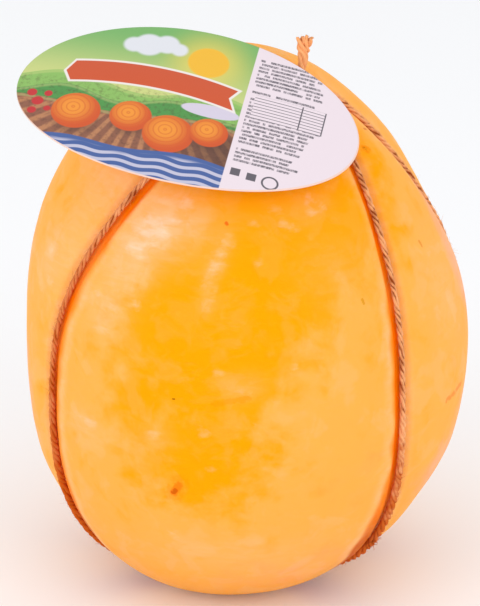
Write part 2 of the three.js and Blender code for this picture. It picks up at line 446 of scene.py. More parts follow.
# Small pale flecks: shreds of the rind's skin with painted glints on them, most in the painted highlight
# patch on the upper left
fleckAndGlintZones = [
    (-16, 50.5, 1.1, 2.2, 0.7), (-17.2, 54, 1.1, 2.2, 0.7), (-18, 57.5, 1.1, 2.4, 0.7),
    (-19, 61, 1.1, 2.2, 0.6), (-13.5, 51.5, 1, 1.8, 0.5), (-15, 56, 1, 2, 0.5),
    (-16, 62.5, 1.2, 2.2, 0.6), (-17, 66.5, 1.1, 1.8, 0.6), (-9, 46, 1.4, 1.1, 0.6),
    (-5, 55, 1.3, 1.6, 0.6), (-11, 82.5, 1.6, 1.2, 0.8), (9, 38.5, 1.2, 2, 0.8),
    (10.5, 42, 1.6, 1.2, 0.8), (15, 40, 1.2, 1.7, 0.7), (-2.5, 42, 2, 1.2, 0.7), (0.5, 45, 1.5, 1.4, 0.7),
    (4.5, 46, 1.8, 1.2, 0.6), (-41, 53, 2.4, 1.3, 1), (-39, 51, 2.6, 1.2, 1),
    (-35.5, 52.5, 2.6, 1.2, 1), (-37.5, 55, 2.8, 1.2, 0.8), (-35, 49, 2.6, 1.2, 1),
    (-32, 45, 1.8, 1.4, 0.9), (-33, 54, 1.8, 1.2, 0.7), (-43, 57, 2.2, 1.2, 0.8),
    (-40, 58, 2.2, 1.2, 0.7), (-44, 77, 2.6, 1.2, 0.8), (-41, 71, 2.4, 1.2, 0.8),
    (-36, 69, 1.4, 1.4, 0.8), (-39, 66, 2, 1.2, 0.6), (-48, 69, 2, 1.2, 0.6), (-5, 87, 2.2, 1.2, 0.7),
    (8, 81, 1.2, 1.4, 0.7), (3.5, 90, 1.2, 1.2, 0.6), (-45.5, 101.5, 2.4, 1.4, 1),
    (-26, 100, 1.8, 1.6, 0.7), (-13, 98, 1.3, 1.6, 0.8), (-10.5, 107.5, 1.1, 1.1, 0.7),
    (-21.5, 126.5, 2, 1.4, 0.6), (0, 96, 1.2, 1.1, 0.6), (-70, 66, 2, 1.6, 0.8), (-67, 72, 1.6, 1.4, 0.7),
    (62, 60, 1.4, 1.6, 0.6), (130, 70, 3, 1.4, 0.9), (150, 95, 2.4, 1.3, 0.8), (-130, 60, 3, 1.3, 0.9),
    (-150, 90, 2, 1.8, 0.8), (175, 55, 3, 1.3, 0.9), (110, 100, 2, 1.4, 0.8), (-160, 120, 2.4, 1.3, 0.7),
]
# A pinker, paler tone: partly the rind's own tone, partly painted rim sheen at the sides and near the foot
blushAndSheenZones = [
    (84, 40, 3, 8, 0.8), (83, 52, 5, 9, 0.9), (82, 64, 6, 10, 0.9), (86, 78, 7, 14, 0.9),
    (84, 112, 10, 14, 0.75), (66, 122, 9, 9, 0.75), (30, 114, 14, 14, 0.35), (-88, 70, 5, 20, 0.4),
    (-82, 98, 5, 9, 0.6), (-80, 112, 6, 12, 0.6), (16, 140, 22, 8, 0.5), (60, 14, 8, 6, 0.6),
    (-165, 70, 14, 20, 0.5), (175, 130, 20, 14, 0.5),
]

# Small marks from one place to another, each a bearing and a polar angle.
# Their reach in millimetres, colour and weight follow.
marks = [
    ((-18.6, 112), (-20.6, 115.2), 4, srgb(255, 144, 0), 0.5),
    ((-19, 112.4), (-20.2, 114.7), 1.7, srgb(236, 112, 8), 0.65),
    ((-19.9, 114.1), (-20.4, 114.6), 1.05, srgb(196, 76, 0), 0.7),
    ((-21.4, 90), (-21, 90), 0.5, srgb(90, 34, 4), 1),
    ((-17.8, 46.9), (-17.4, 47.2), 0.7, srgb(230, 96, 16), 0.8),
    ((50.8, 24.7), (54.2, 25.8), 1.8, srgb(250, 138, 10), 0.8),
    ((52, 25), (53.2, 25.5), 1, srgb(120, 48, 4), 1),
    ((61, 102.2), (72, 101.6), 1.3, srgb(240, 132, 50), 0.7),
    ((-11.3, 90.4), (-3, 88.9), 1.3, srgb(236, 146, 0), 0.45),
    ((67, 20.5), (94, 24.6), 0.8, srgb(216, 118, 56), 0.8),
    ((27.6, 65.8), (28, 66.8), 0.7, srgb(206, 140, 10), 0.7),
    ((58.2, 55.4), (58.8, 57), 0.7, srgb(220, 130, 40), 0.6),
]


# How far a place lies inside the zones, 0 to 1
def zoneShare(zones, bearing, polar):
    outside = 1.0
    for middle, down, across, along, strength in zones:
        x = angleFrom(math.radians(middle), bearing) * body["halfWidth"] * math.sin(polar) / across
        y = (polar - math.radians(down)) * body["poleRadius"] / along
        outside *= 1 - strength * math.exp(-cheese["zoneFall"] * (x * x + y * y))
    return 1 - outside


def columnBearing(share, polar):
    shares = cheese["sectorShares"]
    index = max(i for i in range(len(runs)) if shares[i] <= share)
    t = (share - shares[index]) / (shares[index + 1] - shares[index])
    t -= cheese["crowding"] * math.sin(turn * t) / turn
    start = runBearing(runs[index], polar)
    end = runBearing(runs[(index + 1) % len(runs)], polar)
    if index + 1 == len(runs):
        end += turn
    return start + (end - start) * t


def cheeseMaterial():
    fixed = {
        "IOR": 1.42,
        "Specular IOR Level": 0.02,
        "Subsurface Weight": 0.15,
        "Subsurface Radius": (1.0, 0.35, 0.08),
        "Subsurface Scale": 2.5 * mm,
        "Coat Roughness": 0.28,
        "Coat IOR": 1.4,
    }
    material, start, inputs = newMaterial("smokedRind", fixed)
    place = objectPlace(start)
    grooveShade, deep, bloomAndHighlight, blushAndSheen, fleckAndGlint = (start.layer(name) for name in cheese["layers"])
    blotch = place.fog(*rind["blotch"])
    mottle = place.fog(*rind["mottle"])
    uneven = (blotch - noiseMiddle) * rind["blotchWeight"] + (mottle - noiseMiddle) * rind["mottleWeight"]
    # Deeper tone in the deep zones, which include painted shade below the card
    inDeep = (deep * rind["deepWeight"] + uneven).smooth(*rind["deepLevels"])
    colour = inDeep.mix(cheese["peach"], cheese["deep"])
    # A pinker, paler tone, partly painted rim sheen at the sides and foot
    inBlush = (blushAndSheen + uneven * rind["blushUneven"]).smooth(*rind["blushLevels"])
    colour = inBlush.mix(colour, cheese["blushAndSheen"])
    slanted = place.stretch(**rind["slant"])
    wisp = slanted.veil(*rind["wisp"])
    torn = slanted.fog(*rind["torn"]) - noiseMiddle
    haze = place.veil(*rind["haze"])
    ripple = place.stretch(**rind["flat"]).veil(*rind["ripple"])
    cloud = place.veil(*rind["cloud"])
    # Pale veil: partly the rind's pale bloom, partly painted highlight and sheen; the same mask sets the coat
    pale = bloomAndHighlight * (rind["paleWeight"] + (wisp + ripple) * rind["paleStreaks"])
    pale = pale + wisp * haze * rind["wispWeight"]
    pale = pale + cloud * (rind["cloudWeight"] - deep * rind["cloudInDeep"])
    # Pale flecks: skin shreds with painted glints on them
    flecksAndGlints = (fleckAndGlint + torn * rind["tornWeight"]).smooth(*rind["fleckLevels"]) * rind["fleckWeight"]
    pale = pale + flecksAndGlints * (1 - rind["fleckStreaks"] + ripple * rind["fleckStreaks"])
    colour = pale.mix(colour, cheese["bloomAndHighlight"])
    height = place.axes().sibling("Z")
    # Painted shade in the grooves beside the twine, darker towards the foot
    darkening = height.smooth(*rind["lowShade"]).mix(cheese["grooveShade"], cheese["grooveShadeLow"])
    colour = (grooveShade * blotch.smooth(*rind["shadeBlotch"])).mix(colour, darkening)
    ragged = place.veil(*rind["ragged"])
    for first, last, reach, paint, weight in marks:
        ends = [toPart @ bodyPoint(*map(math.radians, angles)) for angles in (first, last)]
        shape = (place.nearLine(*ends, reach * mm) * ragged).smooth(*rind["markLevels"])
        colour = (shape * weight).mix(colour, paint)
    fine = place.fog(*rind["fine"])
    relief = place.fog(*rind["relief"]) + fine * rind["fineRelief"] + wisp * rind["wispRelief"]
    rough = rind["roughness"] + (fine - noiseMiddle) * rind["roughGrain"]
    feed(inputs, Base_Color=colour, Roughness=rough, Coat_Weight=pale * rind["paleCoat"],
         Normal=relief.bump(*rind["bump"]))
    return material


def buildCheese():
    bm = bmesh.new()
    bmesh.ops.create_uvsphere(bm, u_segments=cheese["columns"], v_segments=cheese["rows"], radius=1)
    layers = {name: bm.verts.layers.float.new(name) for name in cheese["layers"]}
    for vert in bm.verts:
        polar = math.acos(min(max(vert.co.z, -1.0), 1.0))
        bearing = columnBearing(math.atan2(vert.co.x, -vert.co.y) / turn % 1.0, polar)
        d = direction(bearing, polar)
        radius = bodyRadius(d)
        depth, grooveShade, lip = pressed(bearing, polar)
        place = d * radius
        uneven = cheese["swell"] * noise.noise(place / cheese["swellSize"])
        uneven += cheese["dent"] * noise.noise(place / cheese["dentSize"] + cheese["dentShift"])
        point = d * (radius - depth + uneven)
        point.z = max(point.z, -body["middle"].z)
        vert.co = point
        # how far the painted groove shade reaches
        vert[layers["grooveShade"]] = grooveShade
        vert[layers["deep"]] = zoneShare(deepAndShadeZones, bearing, polar)
        # pale zones, with a painted highlight on the lip beyond the groove shade
        vert[layers["bloomAndHighlight"]] = max(zoneShare(bloomAndHighlightZones, bearing, polar), lip * cheese["lipHighlight"])
        vert[layers["blushAndSheen"]] = zoneShare(blushAndSheenZones, bearing, polar)
        vert[layers["fleckAndGlint"]] = zoneShare(fleckAndGlintZones, bearing, polar)
    finishPiece(bm, "smoked_cheese", cheeseMaterial(), "cheese")


# The twine: three plies laid in the S way along each route, with loose fibres

twine = {
    "radius": 0.76,
    "clear": 0.3,
    "ply": 0.37,
    "plyOut": 0.33,  # from the middle of the twine to the middle of a ply
    "plies": 3,
    "lay": 6.4,  # length of one full turn of the plies
    "step": 0.5,
    "fineStep": 0.3,  # for the knot and the loose ends
    "routeSteps": 400,
    "knotSteps": 240,
    "tailSteps": 8,
    "sides": 7,
    "knotLift": 2.1,
    "knotReach": 5,
    "knotSize": 0.6,
    "crossDip": 0.9,  # the under loop passes this much deeper at the crossing
    "crossReach": 5,
    "tailSize": 1.55,  # the loose ends are thicker
    "fray": 1.6,  # length that has come undone at the cut ends
    "frayOpen": 0.6,
    "frayThin": 0.35,
    "slack": 1.6,  # unevenness of the twist, radians
    "slackWaves": 0.3,
    "stray": 0.1,  # how far the twine wanders from its route
    "strayWaves": 0.23,
    "strayShift": Vector((0, 31, 0)),
    "uneven": 0.2,  # share by which its plies swell and thin
    "unevenWaves": 0.7,
    "plyShift": Vector((9, 0, 0)),
    "lowSwell": 0.45,  # share by which they swell above the foot, between these heights
    "swellFrom": (4, -38),
    "swellTo": (-51, -57),
    "tan": srgb(252, 186, 132),
    "brown": srgb(214, 140, 86),
    # darker where the plies turn inwards: painted shade between the plies
    "dark": srgb(150, 64, 18),
    "loose": srgb(252, 178, 118),  # the ends that have come undone
    "darkening": srgb(202, 90, 0),  # a darker tone towards the foot and on the left side
    "seed": 11,
}
fibre = {
    "count": 1000,  # on each loop
    "tailCount": 60,
    "tailSpread": 0.5,
    "radius": 0.035,
    "taper": 0.6,
    "rings": 4,
    "sides": 3,
    "floor": -59,  # none below here, where the twine is pressed to the table
    "length": (0.6, 1.9),
    "outward": 0.8,
    "root": 0.8,  # share of the twine's radius at which they start
    "along": (0.5, 1.2),
    "lift": (0.15, 0.7),
    "curl": 0.35,
}
nub = {"run": 2, "polar": 140.5, "reach": 1.7, "count": 60, "spread": 0.9, "thick": 3.5}  # a frayed place

# Noises of the twine, as scale, detail and roughness, and the levels or metres between which they count
strand = {
    "stretch": (0.12, 5, 1),
    "threads": (3, 3, 0.6),
    "threadLevels": (0.3, 0.7),
    "threadShare": 0.6,
    "blotch": ((260, 3, 0.6), (0.35, 0.7)),
    "outerUneven": 0.5,
    "outerLevels": (0.3, 0.8),
    "leftDarkening": (-0.02, -0.042, 0, 0.6),
    "lowDarkening": (0.06, 0.018, 0, 0.88),
    "lowUneven": 0.02,
    "looseAbove": (0.1235, 0.126, 0, 0.6),
    "bump": (0.5, 0.15 * mm),
    "roughness": 0.75,
    "roughGrain": 0.2,
}
tails = [
    [(0.1, -0.4, 0), (0.7, -0.7, 2.5), (0.9, -0.6, 5.2), (0.7, -0.2, 7.8), (0.6, 0, 9.3)],
    [(0.2, 0.4, 0), (0.9, 0.7, 2.5), (1.4, 0.6, 5.2), (2.1, 0.2, 7.8), (2.7, 0, 9.2)],
]


def twinePoint(run, polar, dip=0.0):
    d = direction(runBearing(run, polar), polar)
    lift = twine["radius"] + twine["clear"]
    rise = (twine["knotLift"] - lift) * (1 - ease(polar * body["poleRadius"], 0, twine["knotReach"]))
    fromCross = (math.pi - polar) * body["poleRadius"]
    sunk = floorDepth(polar) + groove["drop"] - lift - rise
    sunk += dip * math.exp(-(fromCross / twine["crossReach"]) ** 2)
    return d * (bodyRadius(d) - sunk)


def evenly(points, step):
    lengths = [0.0]
    for a, b in zip(points, points[1:]):
        lengths.append(lengths[-1] + (b - a).length)
    count = max(2, round(lengths[-1] / step))
    spaced = []
    index = 0
    for i in range(count + 1):
        along = lengths[-1] * i / count
        while index + 2 < len(points) and lengths[index + 1] < along:
            index += 1
        t = (along - lengths[index]) / (lengths[index + 1] - lengths[index])
        spaced.append(points[index].lerp(points[index + 1], t))
    return spaced


def loopRoute(down, up, dip):
    angles = [math.pi * i / twine["routeSteps"] for i in range(twine["routeSteps"] + 1)]
    points = [twinePoint(down, polar, dip) for polar in angles]
    points += [twinePoint(up, polar, dip) for polar in reversed(angles[:-1])]
    return evenly(points, twine["step"])


# A trefoil stands for the knot
def knotRoute(place, axis):
    upright = Vector((0, 0, 1)).rotation_difference(axis)
    points = []
    for i in range(twine["knotSteps"] + 1):
        a = turn * i / twine["knotSteps"]
        out = 2 + math.cos(3 * a)
        curl = Vector((out * math.cos(2 * a), out * math.sin(2 * a), math.sin(3 * a)))
        points.append(place + upright @ curl * twine["knotSize"])
    return evenly(points, twine["fineStep"])


def tailRoute(place, corners):
    points = [place + Vector(corner) for corner in corners]
    smooth = []
    for i in range(len(points) - 1):
        before = points[max(i - 1, 0)]
        after = points[min(i + 2, len(points) - 1)]
        start, end = points[i], points[i + 1]
        slopeIn = (end - before) / 2
        slopeOut = (after - start) / 2
        for j in range(twine["tailSteps"]):
            t = j / twine["tailSteps"]
            smooth.append(start * (2 * t ** 3 - 3 * t ** 2 + 1) + slopeIn * (t ** 3 - 2 * t ** 2 + t)
                          + end * (3 * t ** 2 - 2 * t ** 3) + slopeOut * (t ** 3 - t ** 2))
    smooth.append(points[-1])
    return evenly(smooth, twine["fineStep"])


# Side and top vectors carried along a route without twisting
def carriedFrames(route):
    frames = []
    side = None
    for i, point in enumerate(route):
        ahead = (route[min(i + 1, len(route) - 1)] - route[max(i - 1, 0)]).normalized()
        if side is None:
            side = ahead.orthogonal().normalized()
        side = (side - ahead * side.dot(ahead)).normalized()
        frames.append((point, side, ahead.cross(side), ahead))
    return frames


# Tubes from one grid: each tube is a list of rings.
# A ring is its middle, two cross vectors, its radius and the middle of the twine there.
def sweep(bm, tubes, sides, layers, ply):
    uvLayer, outerLayer = layers
    rings = [ring for tube in tubes for ring in tube]
    last = len(rings) - 1
    made = bmesh.ops.create_grid(bm, x_segments=last, y_segments=sides, size=1.0)["verts"]
    faces = {face for vert in made for face in vert.link_faces}
    breaks = set()
    total = 0
    for tube in tubes[:-1]:
        total += len(tube)
        breaks.add(total - 1)
    between = []
    for face in faces:
        places = [(loop.vert.co.x + 1) / 2 * last for loop in face.loops]
        if round(min(places)) in breaks:
            between.append(face)
        for loop, place in zip(face.loops, places):
            loop[uvLayer].uv = (place, (loop.vert.co.y + 1) / 2 + ply)
    for vert in made:
        angle = turn * (vert.co.y + 1) / 2
        middle, side, top, radius, spine = rings[round((vert.co.x + 1) / 2 * last)]
        vert.co = middle + (side * math.cos(angle) + top * math.sin(angle)) * radius
        vert[outerLayer] = (vert.co - spine).length / twine["radius"]
    bmesh.ops.delete(bm, geom=between, context="FACES_ONLY")
    bmesh.ops.delete(bm, geom=[edge for edge in bm.edges if not edge.link_faces], context="EDGES")
    bmesh.ops.remove_doubles(bm, verts=made, dist=1e-5)
    ends = {edge for vert in made if vert.is_valid for edge in vert.link_edges if edge.is_boundary}
    bmesh.ops.holes_fill(bm, edges=list(ends), sides=0)


def lowSwell(point):
    return 1 + twine["lowSwell"] * ease(point.z, *twine["swellFrom"]) * (1 - ease(point.z, *twine["swellTo"]))


def layPlies(bm, route, layers, draw, size=1.0, fray=0.0):
    frames = carriedFrames(route)
    spacing = (route[-1] - route[-2]).length
    phase = draw.random() * turn
    for ply in range(twine["plies"]):
        rings = []
        for i, (point, side, top, _) in enumerate(frames):
            angle = phase + turn * ply / twine["plies"] - turn * i * spacing / twine["lay"]
            angle += twine["slack"] * noise.noise(point * twine["slackWaves"])
            loose = 0.0
            if fray:
                loose = ease(i, len(frames) - fray / spacing, len(frames) - 1)
            wobble = noise.noise(point * twine["unevenWaves"] + twine["plyShift"] * ply)
            drift = point * twine["strayWaves"]
            stray = side * noise.noise(drift) + top * noise.noise(drift + twine["strayShift"])
            grown = size * lowSwell(point)
            out = twine["plyOut"] * grown * (1 + twine["frayOpen"] * loose)
            centre = point + stray * twine["stray"] + (side * math.cos(angle) + top * math.sin(angle)) * out
            radius = twine["ply"] * grown * (1 + twine["uneven"] * wobble) * (1 - twine["frayThin"] * loose)
            rings.append((centre, side, top, radius, point))
        sweep(bm, [rings], twine["sides"], layers, ply)


def addFibres(bm, route, layers, draw, count, outward, spread=1.0, thick=1.0):
    frames = carriedFrames(route)
    hairs = []
    for _ in range(count):
        point, side, top, ahead = frames[draw.randrange(1, len(frames) - 1)]
        if point.z < fibre["floor"]:
            continue
        away = outward(point) * fibre["outward"]
        angle = draw.uniform(0, turn)
        lean = (side * math.cos(angle) + top * math.sin(angle) + away).normalized()
        along = ahead if draw.random() < 0.5 else -ahead
        start = point + lean * twine["radius"] * fibre["root"]
        length = draw.uniform(*fibre["length"]) * spread
        heading = (along * draw.uniform(*fibre["along"]) + lean * draw.uniform(*fibre["lift"])).normalized()
        curl = Vector([draw.uniform(-1, 1) for axis in "xyz"]) * fibre["curl"] * length
        cross = heading.cross(lean).normalized()
        rings = []
        for j in range(fibre["rings"]):
            t = j / (fibre["rings"] - 1)
            centre = start + heading * length * t + curl * t * t
            radius = fibre["radius"] * thick * (1 - fibre["taper"] * t)
            rings.append((centre, lean, cross, radius, centre - lean * twine["radius"]))
        hairs.append(rings)
    sweep(bm, hairs, fibre["sides"], layers, 0)


def twineMaterial():
    fixed = {"Specular IOR Level": 0.05, "Sheen Weight": 0.02, "Sheen Roughness": 0.5}
    material, start, inputs = newMaterial("natureTwine", fixed)
    uv = start.node("ShaderNodeUVMap", {"uv_map": "strand"})
    place = objectPlace(start)
    threads = uv.stretch(strand["stretch"]).fog(*strand["threads"])
    blotch = place.veil(*strand["blotch"])
    uneven = blotch - noiseMiddle
    share = strand["threadShare"]
    pale = threads.smooth(*strand["threadLevels"]) * share + blotch * (1 - share)
    colour = pale.mix(twine["brown"], twine["tan"])
    # Darker where a ply's surface lies near the twine's middle: painted shade between the plies
    outside = (start.layer("outer") + uneven * strand["outerUneven"]).smooth(*strand["outerLevels"])
    colour = outside.mix(twine["dark"], colour)
    across = place.axes()
    height = across.sibling("Z")
    # A darker tone on the left side and towards the foot
    colour = across.smooth(*strand["leftDarkening"]).mix(colour, twine["darkening"])
    low = (height + uneven * strand["lowUneven"]).smooth(*strand["lowDarkening"])
    colour = low.mix(colour, twine["darkening"])
    colour = height.smooth(*strand["looseAbove"]).mix(colour, twine["loose"])
    rough = strand["roughness"] + threads * strand["roughGrain"]
    feed(inputs, Base_Color=colour, Roughness=rough, Normal=threads.bump(*strand["bump"]))
    return material


def buildTwine():
    draw = random.Random(twine["seed"])
    bm = bmesh.new()
    layers = (bm.loops.layers.uv.new("strand"), bm.verts.layers.float.new("outer"))
    knotPlace = twinePoint(runs[0], 0)
    knotAxis = direction(0, 0)
    loops = [loopRoute(runs[1], runs[3], twine["crossDip"]), loopRoute(runs[2], runs[0], 0.0)]
    knot = knotRoute(knotPlace, knotAxis)
    ends = [tailRoute(knotPlace, corners) for corners in tails]
    for route in [*loops, knot]:
        layPlies(bm, route, layers, draw)
    for route in ends:
        layPlies(bm, route, layers, draw, twine["tailSize"], twine["fray"])
    for route in loops:
        addFibres(bm, route, layers, draw, fibre["count"], Vector.normalized)
    for route in ends:
        addFibres(bm, route, layers, draw, fibre["tailCount"], lambda point: knotAxis, fibre["tailSpread"])
    spot = twinePoint(runs[nub["run"]], math.radians(nub["polar"]))
    frayed = [point for route in loops for point in route if (point - spot).length < nub["reach"]]
    addFibres(bm, frayed, layers, draw, nub["count"], Vector.normalized, nub["spread"], nub["thick"])
    finishPiece(bm, "tied_twine", twineMaterial(), "twine")


# The card: an oval turned about its middle, bent along its length and laid over the crown

card = {
    "halfLength": 38.2,
    "halfWidth": 23.5,
    "thick": 0.4,
    "arch": 255,
    "middle": Vector((-11.7, -24.55, 58.95)),
    "pitch": 27.5,
    "roll": 9.8,
    "yaw": -7.9,
    "rings": [0, 0.15, 0.3, 0.45, 0.6, 0.75, 0.88, 0.96, 0.99],
    "edge": 0.1,  # rounding of the cut edge
    "steps": 160,
    "paper": srgb(226, 212, 220),
    "rim": srgb(232, 200, 186),
    "ink": srgb(74, 70, 80),
    "panelEdge": (11.3, 11.5),  # where the picture ends and the plain panel starts
    "printEdge": (0.4, 0.6),  # levels of the printed layer at the card's edge
    "margin": 0.993,  # share of the oval that is printed, a little off its middle
    "marginShift": (-0.002, 0.003),
    "marginSoft": 0.006,
    "inkWeight": 0.95,
    "grain": (1800, 3),
    "roughness": 0.38,
    "roughGrain": 0.1,
}

# The printed landscape, in millimetres from the middle of the card
land = {
    "soft": 0.15,  # half width of a soft edge
    "skySpan": (0, 20),
    "skyTop": srgb(112, 170, 95),
    "skyLow": srgb(196, 203, 125),
    "glow": srgb(228, 203, 88),
    "glowWeight": 0.85,
    "sun": {"middle": (1.5, 14), "radius": 4.6, "glow": 13, "soft": 0.3, "colour": srgb(231, 177, 35)},
    "cloud": srgb(214, 216, 223),
    "cloudSoft": 0.5,
    "clouds": [(-12.5, 16.2, 3.4), (-8.6, 17.2, 2.8), (-15.8, 15.6, 2.3), (-5.6, 16.2, 1.9)],
    "hills": [
        {"level": 2.6, "size": 2, "pitch": 34, "shift": 0.4, "colour": srgb(132, 179, 88)},
        {"level": -1.2, "size": 1.6, "pitch": 25, "shift": 2.2, "colour": srgb(70, 141, 63)},
        {"level": -5.2, "size": 1, "pitch": 41, "shift": 0.9, "colour": srgb(135, 83, 59)},
    ],
    "crest": (0.1, 0.9, 0.3),  # a paler band along each hill
    "crestWeight": 0.35,
    "furrow": {
        "colour": srgb(186, 126, 83),
        "from": (-8, 9),  # the furrows fan out from here
        "pitch": 0.11,
        "levels": (-0.2, 0.4),
        "depth": (0.5, 1.5),
        "weight": 0.8,
    },
    "shade": srgb(70, 38, 26),
    "leaves": ((0.9, 4, 0.65), (0.45, 0.7)),
    "leavesBelow": (3, 1, 0, 0.45),
    "duskSpan": (-8, 12),  # the ground darkens to the right
    "duskDepth": (0, 4),
    "duskWeight": 0.7,
    "lake": {"middle": (5, -0.6), "across": 6.5, "along": 1.9, "colour": srgb(204, 196, 214)},
    "lakeEdge": (0.9, 1.1, 1, 0),
    "stream": srgb(59, 88, 150),
    "bank": {"level": -15.6, "size": 0.7, "pitch": 27, "shift": 1},
    "ripple": srgb(186, 185, 207),
    "ripples": {"pitch": 2.1, "levels": (-0.05, 0.25), "depth": (0.8, 2.2), "waves": (0.35, 9)},
    "flower": srgb(188, 30, 35),
    "flowers": [
        (-34.2, -3.6, 1.1), (-32.4, -6, 1.3), (-30.6, -3.4, 0.9), (-33, -9, 1), (-29.8, -8, 0.8),
    ],
}
bale = {
    "places": [(-23.5, -7.5, 5.4), (-11.5, -6.6, 4.6), (-2.5, -9.8, 5.6), (6, -7, 4.2)],
    "light": srgb(231, 143, 35),
    "dark": srgb(201, 75, 5),
    "shadow": {"right": 0.5, "down": 0.45, "reach": 1.15, "core": 0.4, "weight": 0.6},
    "face": {"left": 0.15, "up": 0.2, "light": 0.2, "dark": 1.1},  # shares of its radius
    "rings": {"pitch": 1.15, "levels": (0.1, 0.5), "weight": 0.45},
}
ribbon = {
    "colour": srgb(196, 75, 30),
    "edge": srgb(228, 221, 217),
    "span": (-27, 6.5),
    "wide": 3.1,
    "middle": (-10, 6.4),
    "bow": 90,  # radius of its curve
    "notch": 0.5,
    "shade": 0.35,
    "rim": (-0.75, -0.45),
    "face": (-0.1, 0.1),
}

# Rows of grey strokes on the plain end of the card, and a ruled box among them
rows = {
    "left": 12.6,
    "right": 30.5,
    "top": 19,
    "foot": -13.5,
    "pitch": 1.12,
    "word": 0.62,
    "stem": 0.2,
    "soft": 0.05,
    "stroke": (0.2, 0.8, 0.1),  # height of a stroke as shares of its row
    "gap": (0.12, 0.16),  # chance of a gap between words
    "faint": 0.45,
    "bare": (0.05, 0.07),  # chance of an empty row
    "ragged": 3.5,
    "middle": 4,  # the rows are longest at this height
    "narrowing": 0.2,
    "boxTop": 7.6,
    "boxFoot": 0.4,
    "boxLeft": 1,  # insets from the ends of the rows
    "boxRight": 0.8,
    "boxRow": 0.8,  # share of a row's pitch
    "boxColumn": 24.2,
    "upright": 0.3,
    "rule": 0.16,
    "ruleSoft": 0.08,
    "stamps": [(13.8, -16.4), (17.4, -16.8)],
    "stampHalf": 1.05,
    "ring": (21.6, -17.2, 1.7),
    "ringHalf": 0.22,
}


def paintDiscs(colour, place, discs, paint, soft):
    for x, y, radius in discs:
        colour = place.near((x, y, 0), radius + soft, radius - soft).mix(colour, paint)
    return colour


def paintHills(colour, x, y):
    for hill in land["hills"]:
        depth = x.sine(hill["size"], hill["pitch"], hill["shift"]) + hill["level"] - y
        colour = depth.smooth(-land["soft"], land["soft"]).mix(colour, hill["colour"])
        crest = depth.band(*land["crest"]) * land["crestWeight"]
        colour = crest.mix(colour, land["skyLow"])
    return colour, depth  # the last hill is the field


def paintField(colour, x, y, place, depth):
    furrow = land["furrow"]
    fromX, fromY = furrow["from"]
    fan = x.math("ARCTAN2", x - fromX, fromY - y).sine(0.5, furrow["pitch"])
    lines = fan.smooth(*furrow["levels"]) * depth.smooth(*furrow["depth"]) * furrow["weight"]
    colour = lines.mix(colour, furrow["colour"])
    leaves = place.veil(*land["leaves"])
    colour = (leaves * y.smooth(*land["leavesBelow"])).mix(colour, land["shade"])
    dusk = x.smooth(*land["duskSpan"]) * depth.smooth(*land["duskDepth"])
    return (dusk * land["duskWeight"]).mix(colour, land["shade"])


def paintLake(colour, x, y):
    lake = land["lake"]
    middleX, middleY = lake["middle"]
    across = (x - middleX) / lake["across"]
    along = (y - middleY) / lake["along"]
    return (across * across + along * along).smooth(*land["lakeEdge"]).mix(colour, lake["colour"])


def paintBales(colour, place):
    shadow = bale["shadow"]
    face = bale["face"]
    rings = bale["rings"]
    for x, y, radius in bale["places"]:
        under = (x + shadow["right"], y - shadow["down"] * radius, 0)
        cast = place.near(under, shadow["reach"] * radius, shadow["core"] * radius) * shadow["weight"]
        colour = cast.mix(colour, land["shade"])
        apart = place.fromPlace((x - face["left"] * radius, y + face["up"] * radius, 0))
        darker = apart.smooth(face["light"] * radius, face["dark"] * radius)
        straw = darker.mix(bale["light"], bale["dark"])
        ring = apart.sine(0.5, rings["pitch"]).smooth(*rings["levels"]) * rings["weight"]
        straw = ring.mix(straw, bale["dark"])
        colour = paintDiscs(colour, place, [(x, y, radius)], straw, land["soft"])
    return colour


def paintStream(colour, x, y):
    bank = land["bank"]
    depth = x.sine(bank["size"], bank["pitch"], bank["shift"]) + bank["level"] - y
    colour = depth.smooth(-land["soft"], land["soft"]).mix(colour, land["stream"])
    ripples = land["ripples"]
    waves = (y + x.sine(*ripples["waves"])).sine(0.5, ripples["pitch"]).smooth(*ripples["levels"])
    return (waves * depth.smooth(*ripples["depth"])).mix(colour, land["ripple"])


def paintLandscape(x, y, place):
    colour = y.smooth(*land["skySpan"]).mix(land["skyLow"], land["skyTop"])
    sun = land["sun"]
    glow = place.near((*sun["middle"], 0), sun["glow"]) * land["glowWeight"]
    colour = glow.mix(colour, land["glow"])
    colour = paintDiscs(colour, place, [(*sun["middle"], sun["radius"])], sun["colour"], sun["soft"])
    colour = paintDiscs(colour, place, land["clouds"], land["cloud"], land["cloudSoft"])
    colour, depth = paintHills(colour, x, y)
    colour = paintField(colour, x, y, place, depth)
    colour = paintLake(colour, x, y)
    colour = paintBales(colour, place)
    colour = paintStream(colour, x, y)
    colour = paintDiscs(colour, place, land["flowers"], land["flower"], land["soft"])
    return paintRibbon(colour, x, y)


# A blank ribbon with a pale edge
def paintRibbon(colour, x, y):
    middleX, middleY = ribbon["middle"]
    fromMiddle = x - middleX
    above = y - (middleY - fromMiddle * fromMiddle / (2 * ribbon["bow"]))
    off = above.absolute()
    start, end = ribbon["span"]
    notch = off * ribbon["notch"]
    along = (x - notch - start).least(end - x + notch)
    wide = ribbon["wide"]
    inside = (wide - off).least(along + wide / 2)
    colour = inside.smooth(*ribbon["rim"]).mix(colour, ribbon["edge"])
    shade = above.smooth(-wide, wide, ribbon["shade"], 0.0)
    face = shade.mix(ribbon["colour"], bale["dark"])
    return inside.smooth(*ribbon["face"]).mix(colour, face)


